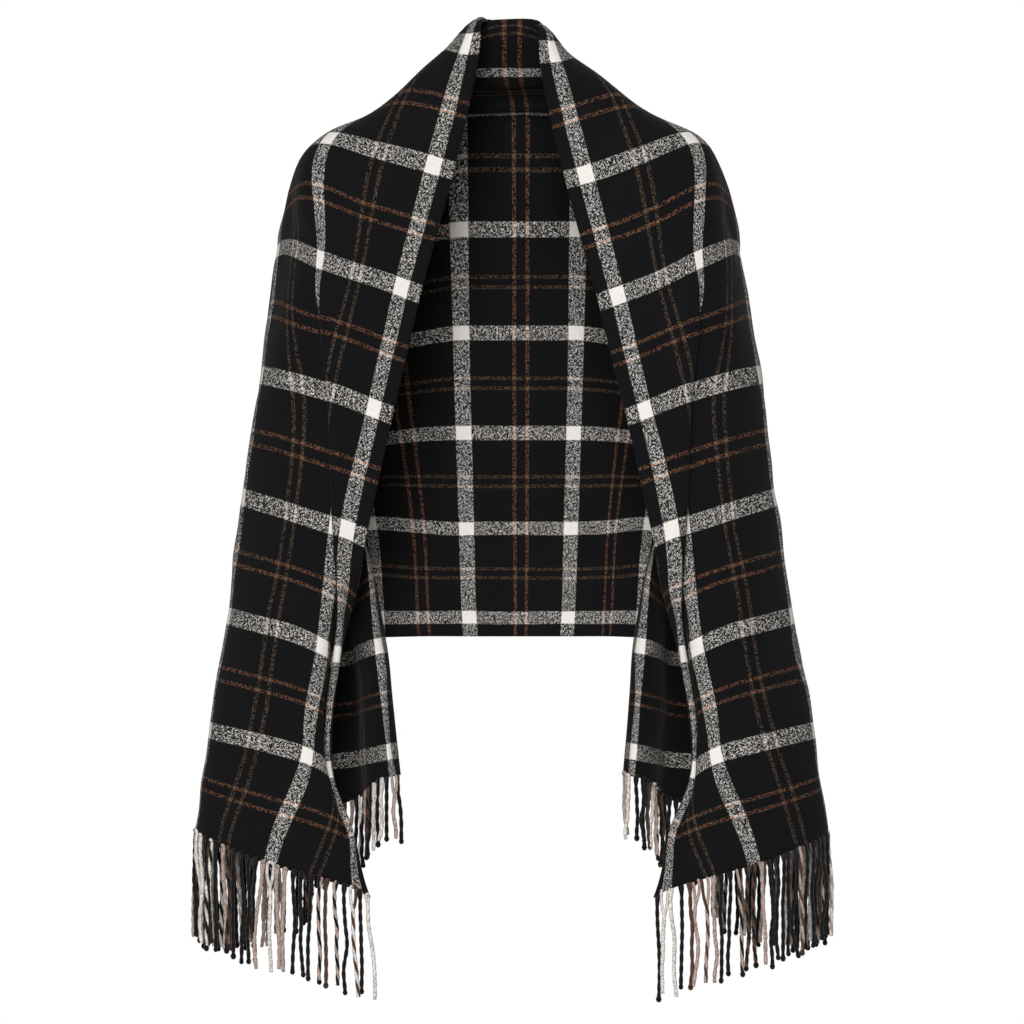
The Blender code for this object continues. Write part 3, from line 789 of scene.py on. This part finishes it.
def yarn_tints(v, rng, palette):
    """Colours of both plies of each strand, near those of the stripe or line it hangs from."""
    flat = v * PITCH
    to_stripe = np.abs((flat - MARGIN + WIDE_PERIOD / 2) % WIDE_PERIOD - WIDE_PERIOD / 2)
    to_lines = np.abs((flat - MARGIN) % WIDE_PERIOD - WIDE_PERIOD / 2)
    chance = np.full((len(v), 4), PLIES_AT_GROUND)
    chance[to_stripe < STRIPE_REACH] = PLIES_AT_STRIPE
    chance[to_lines < LINES_REACH] = PLIES_AT_LINES
    limit = np.cumsum(chance, axis=1)
    first, other = ((rng.random(len(v))[:, None] > limit[:, :3]).sum(1) for _ in range(2))
    # most strands are of one colour
    second = np.where(rng.random(len(v)) < NEW_PLY, other, first)
    return palette[first], palette[second]


def looped_yarn(way, axis, directions, pale, settings, rng):
    """Each strand's yarn as one line: up one ply, over a loop at the edge, down the other.

    The plies wind round the axis, each PLY_OFFSET of a thickness from it. Over the loop's legs
    they don't wind, and part by a further opening * exp(-(way / legs) ** 4). The loop's top is
    a flattened half circle from ply to ply, which bulges out of the cloth's face.
    """
    tangent, down, facing = directions
    count = len(axis)
    large = pale & (rng.random(count) < LARGE_LOOPS)
    legs = np.where(large, rng.uniform(*LARGE_LEGS, count), SMALL_LEGS)[:, None] * MM
    opening = np.where(large, LARGE_OPENING, SMALL_OPENING)[:, None] * MM
    spread = settings.thickness * PLY_OFFSET + opening * np.exp(-(way / legs) ** 4)
    start = rng.uniform(-TWIST_START, TWIST_START, (count, 1))
    turn_length = settings.twist * rng.uniform(*TWIST_UNEVEN, (count, 1))
    angle = start + 2 * math.pi * np.maximum(way - legs, 0) / turn_length
    offset = (np.cos(angle)[..., None] * tangent[:, None]
              + np.sin(angle)[..., None] * facing[:, None]) * spread[..., None]
    u = np.linspace(0, math.pi, LOOP_RINGS + 2)[1:-1]
    cos_u, sin_u = np.cos(u)[:, None], np.sin(u)[:, None]
    wide = spread[:, :1, None]
    arch = (axis[:, :1] + tangent[:, None] * wide * cos_u
            - down[:, None] * wide * LOOP_HEIGHT * sin_u
            + facing[:, None] * WALL * LOOP_HEIGHT * sin_u)
    return np.concatenate([(axis + offset)[:, ::-1], arch, axis - offset], axis=1)


def knot_lines(axis, thickness, rng):
    """Middle lines and radii of the knots at the strands' tips: balls with a slight ripple."""
    along = np.linspace(-1, 1, KNOT_RINGS)
    swell = np.sqrt(np.maximum(1 - along ** 2, 0.02)) * (1 + 0.1 * np.cos(3 * math.pi * along))
    direction = unit(axis[:, -1] - axis[:, -4])
    size = thickness * KNOT_RADIUS * rng.uniform(*KNOT_UNEVEN, (len(axis), 1))
    centre = axis[:, -1:] + direction[:, None] * (along * size * KNOT_LENGTH)[..., None]
    return centre, swell[None] * size


def fringe_mesh(name, side, settings, palette):
    """Every strand of one end: a looped, twisted yarn as a closed tube, and its knot."""
    rng = np.random.default_rng(FRINGE_SEED + side)
    v, way, axis, directions = strand_paths(side, settings, rng)
    first, second = yarn_tints(v, rng, palette)
    pale = first.max(axis=1) > PALE
    path = looped_yarn(way, axis, directions, pale, settings, rng)
    radius = np.full(path.shape[:2], settings.thickness * PLY_RADIUS)
    yarn, yarn_faces = tubes(path, radius, PLY_SIDES)
    going_up = np.arange(path.shape[1])[None, :, None] < RINGS + LOOP_RINGS // 2
    tint = np.where(going_up, first[:, None], second[:, None])
    # the pale strands end without a knot
    knotted = np.flatnonzero(~pale)
    knot, knot_faces = tubes(*knot_lines(axis[knotted], settings.thickness, rng), KNOT_SIDES)
    # painted shade: each knot takes its darker ply's colour, darkened for the shade in its
    # bunched yarn
    dark = KNOT_SHADE * np.minimum(first, second)[knotted]
    points = np.concatenate([yarn.reshape(-1, 3), knot.reshape(-1, 3)])
    quads = np.concatenate([yarn_faces, knot_faces + yarn.size // 3])
    obj = make_mesh(name, points, quads)
    rgba = np.ones((len(points), 4), dtype=np.float32)
    rgba[:, :3] = np.concatenate([
        np.repeat(tint[:, :, None], PLY_SIDES, axis=2).reshape(-1, 3),
        np.repeat(dark[:, None], KNOT_RINGS * KNOT_SIDES, axis=1).reshape(-1, 3)])
    layer = obj.data.color_attributes.new("yarn", "FLOAT_COLOR", "POINT")
    layer.data.foreach_set("color", rgba.ravel())
    return obj


def tubes(path, radius, sides):
    """Closed tubes round many paths at once: (paths, rings, sides, 3), and their quads.

    Each ring is a circle square to its path, in a frame made from the path's direction and
    the Y axis. The two ends are closed by strips across the last ring.
    """
    heading = unit(np.gradient(path, axis=1))
    side = unit(np.cross(heading, (0.0, 1.0, 0.0)))
    up = np.cross(side, heading)
    turn = np.arange(sides) * 2 * math.pi / sides
    ring = np.cos(turn)[:, None] * side[:, :, None] + np.sin(turn)[:, None] * up[:, :, None]
    points = path[:, :, None] + ring * radius[:, :, None, None]
    index = np.arange(points.size // 3).reshape(points.shape[:3])
    nxt = np.roll(index, -1, axis=2)
    walls = np.stack([index[:, :-1], index[:, 1:], nxt[:, 1:], nxt[:, :-1]], axis=-1)
    caps = []
    for row, flipped in ((0, False), (-1, True)):
        ends = index[:, row]
        k = np.arange(1, sides // 2)
        strip = np.stack([ends[:, k - 1], ends[:, k], ends[:, -k - 1], ends[:, (-k) % sides]],
                         axis=-1)
        caps.append((strip[..., ::-1] if flipped else strip).reshape(-1, 4))
    return points, np.concatenate([walls.reshape(-1, 4)] + caps)


# Kinds of settings: the property, and what it is told besides its name, text and value
LENGTH = (FloatProperty, {"unit": "LENGTH"})
STRENGTH = (FloatProperty, {"min": 0.0})
COUNT = (IntProperty, {"min": 8, "max": 120})
COLOUR = (FloatVectorProperty, {"subtype": "COLOR", "size": 3, "min": 0.0, "max": 1.0})

WeaveSettings = settings_of("ShawlWeaveSettings", (
    ("long_stripe", LENGTH, "Stripe along", "Width of a stripe along the scarf", 15.4 * MM),
    ("cross_stripe", LENGTH, "Stripe across", "Width of a stripe across the scarf", 18.9 * MM),
    ("rib", LENGTH, "Twill rib", "Spacing of the twill's diagonal flecks", 2.9 * MM),
))
ColourSettings = settings_of("ShawlColourSettings", (
    ("long_brown", COLOUR, "Brown along", "Colour of the brown lines along the scarf",
     linear("7F6856")[:3]),
    ("cross_brown", COLOUR, "Brown across", "Colour of the brown lines across it",
     linear("A5755A")[:3]),
    ("cream", COLOUR, "Cream yarn", "Colour of the fringe's cream plies", linear("EAE2DA")[:3]),
    ("taupe", COLOUR, "Taupe yarn", "Colour of the fringe's taupe plies", linear("B9A398")[:3]),
))
FringeSettings = settings_of("ShawlFringeSettings", (
    ("strands", COUNT, "Strands", "Strands on each end", 88),
    ("thickness", LENGTH, "Thickness", "Width of a strand", 4.5 * MM),
    ("twist", LENGTH, "Twist", "Length of one turn of the plies", 23.0 * MM),
    ("long_strand", LENGTH, "Long strands", "Length from the edge to the knot", 113.0 * MM),
    ("short_strand", LENGTH, "Short strands", "Length at the hem's corner", 71.0 * MM),
    ("uneven", LENGTH, "Unevenness", "How much shorter a strand may be", 9.0 * MM),
))
StageSettings = settings_of("ShawlStageSettings", (
    ("camera_distance", LENGTH, "Camera distance", "From the camera to the cloth", 9.0),
    ("picture_width", LENGTH, "Picture width", "Width of the view at the shawl", VIEW * PITCH),
    ("picture_middle", LENGTH, "Picture middle", "Height of the view's middle",
     (NAPE_DROP - VIEW / 2) * PITCH),
    ("floor_height", LENGTH, "Floor height", "Height of the floor under the shawl", -1.6),
    ("floor_reach", LENGTH, "Floor reach", "From the middle of the floor to its edges", 1.5),
    ("sky_light", STRENGTH, "Sky light", "How strongly the white room lights the shawl", 0.24),
    ("front_light", STRENGTH, "Front light", "Strength of the wide light from the front", 2.45),
))
GROUPS = (
    ("shawl_weave", WeaveSettings),
    ("shawl_colours", ColourSettings),
    ("shawl_fringe", FringeSettings),
    ("shawl_stage", StageSettings),
)


class SHAWL_OT_cloth(bpy.types.Operator):
    """Drapes the woven cloth in place of its three solids"""
    bl_idname = "shawl.cloth"
    bl_label = "Drape cloth"

    def execute(self, context):
        scene = context.scene
        cloth = cloth_shell("shawl_cloth")
        cloth.data.materials.append(brushed_twill(scene.shawl_weave, scene.shawl_colours))
        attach(cloth, "root")
        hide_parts("back_stretch", "left_stretch", "right_stretch")
        return {"FINISHED"}


class SHAWL_OT_fringe(bpy.types.Operator):
    """Ties the twisted strands to both ends of the cloth"""
    bl_idname = "shawl.fringe"
    bl_label = "Tie fringe"

    def execute(self, context):
        scene = context.scene
        tones = scene.shawl_colours
        black, brown = linear(BLACK_PLY)[:3], linear(BROWN_PLY)[:3]
        palette = np.array([black, tones.cream, tones.taupe, brown])
        yarn = twisted_yarn()
        for side, word in ((-1, "left"), (1, "right")):
            fringe = fringe_mesh(word + "_strands", side, scene.shawl_fringe, palette)
            fringe.data.materials.append(yarn)
            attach(fringe, "root")
            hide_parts(word + "_fringe")
        return {"FINISHED"}


class SHAWL_OT_stage(bpy.types.Operator):
    """Sets the pale floor, the soft lights and the camera"""
    bl_idname = "shawl.stage"
    bl_label = "Set stage"

    def execute(self, context):
        settings = context.scene.shawl_stage
        floor_and_world(settings)
        soft_lights(settings)
        front_camera(settings)
        return {"FINISHED"}


class SHAWL_PT_panel(bpy.types.Panel):
    """Lists the shawl's sizes, colours and steps"""
    bl_label = "Plaid Shawl"
    bl_idname = "SHAWL_PT_panel"
    bl_space_type = "VIEW_3D"
    bl_region_type = "UI"
    bl_category = "Shawl"

    def draw(self, context):
        for name, group in GROUPS:
            box = self.layout.box()
            settings = getattr(context.scene, name)
            for key in group.__annotations__:
                box.prop(settings, key)
        for operator in OPERATORS:
            self.layout.operator(operator.bl_idname)


OPERATORS = (SHAWL_OT_cloth, SHAWL_OT_fringe, SHAWL_OT_stage)


def floor_and_world(settings):
    """A wide pale floor below the shawl, and an even white sky."""
    r, z = settings.floor_reach, settings.floor_height
    points = np.array([(-r, -r, z), (r, -r, z), (r, r, z), (-r, r, z)])
    floor = make_mesh("pale_floor", points, np.array([[0, 1, 2, 3]]), False)
    floor.data.materials.append(pale_floor())
    world = bpy.data.worlds.new("white_studio")
    world.use_nodes = True
    tree = world.node_tree
    sky = tree.nodes["Background"]
    sky.inputs["Color"].default_value = (1.0, 1.0, 1.0, 1.0)
    # the room itself is seen as pure white, whatever light it gives
    seen = add(tree, "MapRange", add(tree, "LightPath"), 0.0, 1.0, settings.sky_light, 1.0)
    tree.links.new(seen, sky.inputs["Strength"])
    bpy.context.scene.world = world


def soft_lights(settings):
    """A wide even light from the front, a weak key from the upper left and a back light."""
    lamps = (
        # name, kind, place, size m or angle, power W or strength
        ("front", "SUN", (-0.4, -4.0, 1.0), math.radians(25), settings.front_light),
        ("key", "AREA", (-2.2, -3.6, 2.0), 2.4, 18.0),
        ("back", "AREA", (0.8, 3.6, 1.8), 2.4, 20.0),
    )
    for name, kind, place, size, power in lamps:
        lamp = bpy.data.lights.new(name, kind)
        setattr(lamp, "angle" if kind == "SUN" else "size", size)
        lamp.energy = power
        obj = new_object(name, lamp)
        obj.location = place
        target = np.array([0.0, 0.0, settings.picture_middle]) - place
        obj.rotation_euler = direction_to_euler(target)


def direction_to_euler(direction):
    """The turn that points an object's -Z axis along a direction, its Y axis upwards."""
    x, y, z = direction
    flat = math.hypot(x, y)
    return (math.atan2(flat, -z), 0.0, math.atan2(-x, y))


def front_camera(settings):
    """A level camera straight in front, as far off as its long lens needs."""
    camera = bpy.data.cameras.new("front_camera")
    camera.sensor_width = 36.0
    camera.lens = camera.sensor_width * settings.camera_distance / settings.picture_width
    camera.clip_end = 200.0
    obj = new_object("front_camera", camera)
    obj.location = (0.0, -settings.camera_distance, settings.picture_middle)
    obj.rotation_euler = (math.pi / 2, 0.0, 0.0)
    bpy.context.scene.camera = obj
    bpy.context.scene.view_settings.view_transform = "Standard"


def register():
    """Adds the settings, the steps and the panel."""
    for name, group in GROUPS:
        bpy.utils.register_class(group)
        setattr(bpy.types.Scene, name, PointerProperty(type=group))
    for operator in OPERATORS:
        bpy.utils.register_class(operator)
    bpy.utils.register_class(SHAWL_PT_panel)


def unregister():
    """Takes them out again."""
    bpy.utils.unregister_class(SHAWL_PT_panel)
    for operator in reversed(OPERATORS):
        bpy.utils.unregister_class(operator)
    for name, group in reversed(GROUPS):
        delattr(bpy.types.Scene, name)
        bpy.utils.unregister_class(group)


def main():
    """Makes every piece in order."""
    register()
    bpy.ops.shawl.cloth()
    bpy.ops.shawl.fringe()
    bpy.ops.shawl.stage()
    bpy.context.view_layer.update()


if __name__ == "__main__":
    main()
